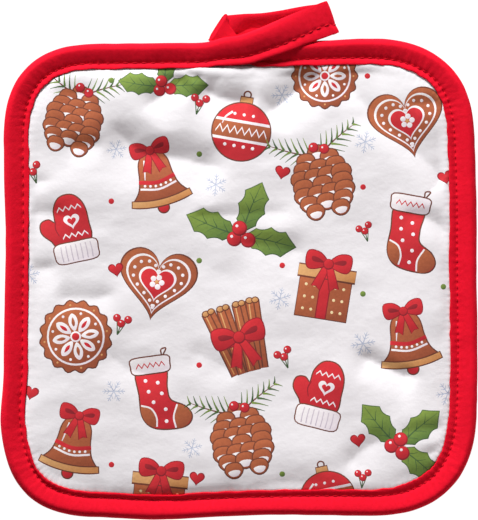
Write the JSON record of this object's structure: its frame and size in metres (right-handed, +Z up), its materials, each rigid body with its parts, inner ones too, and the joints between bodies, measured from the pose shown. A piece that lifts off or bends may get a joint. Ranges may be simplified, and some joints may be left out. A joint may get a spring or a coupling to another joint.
{
  "type": "padded cotton trivet mat with a hanging loop",
  "caption": "Square padded cotton mat with rounded corners, a folded tape bound round its edge and a hanging loop at the top, for hot pots on a table.",
  "frame": {"origin": "on the surface, under the middle of the whole mat with its loop", "axes": "+Z up out of the printed face, +Y towards the edge with the hanging loop, +X to the right of the printed face"},
  "size_m": [0.202, 0.2196, 0.0085],
  "materials": {
    "printed_cotton": "matt plain weave",
    "red_tape": "soft plain weave, slight sheen"
  },
  "bodies": {
    "root": {"pad": "printed_cotton", "binding": "red_tape", "hanging_loop": "red_tape"}
  },
  "joints": []
}
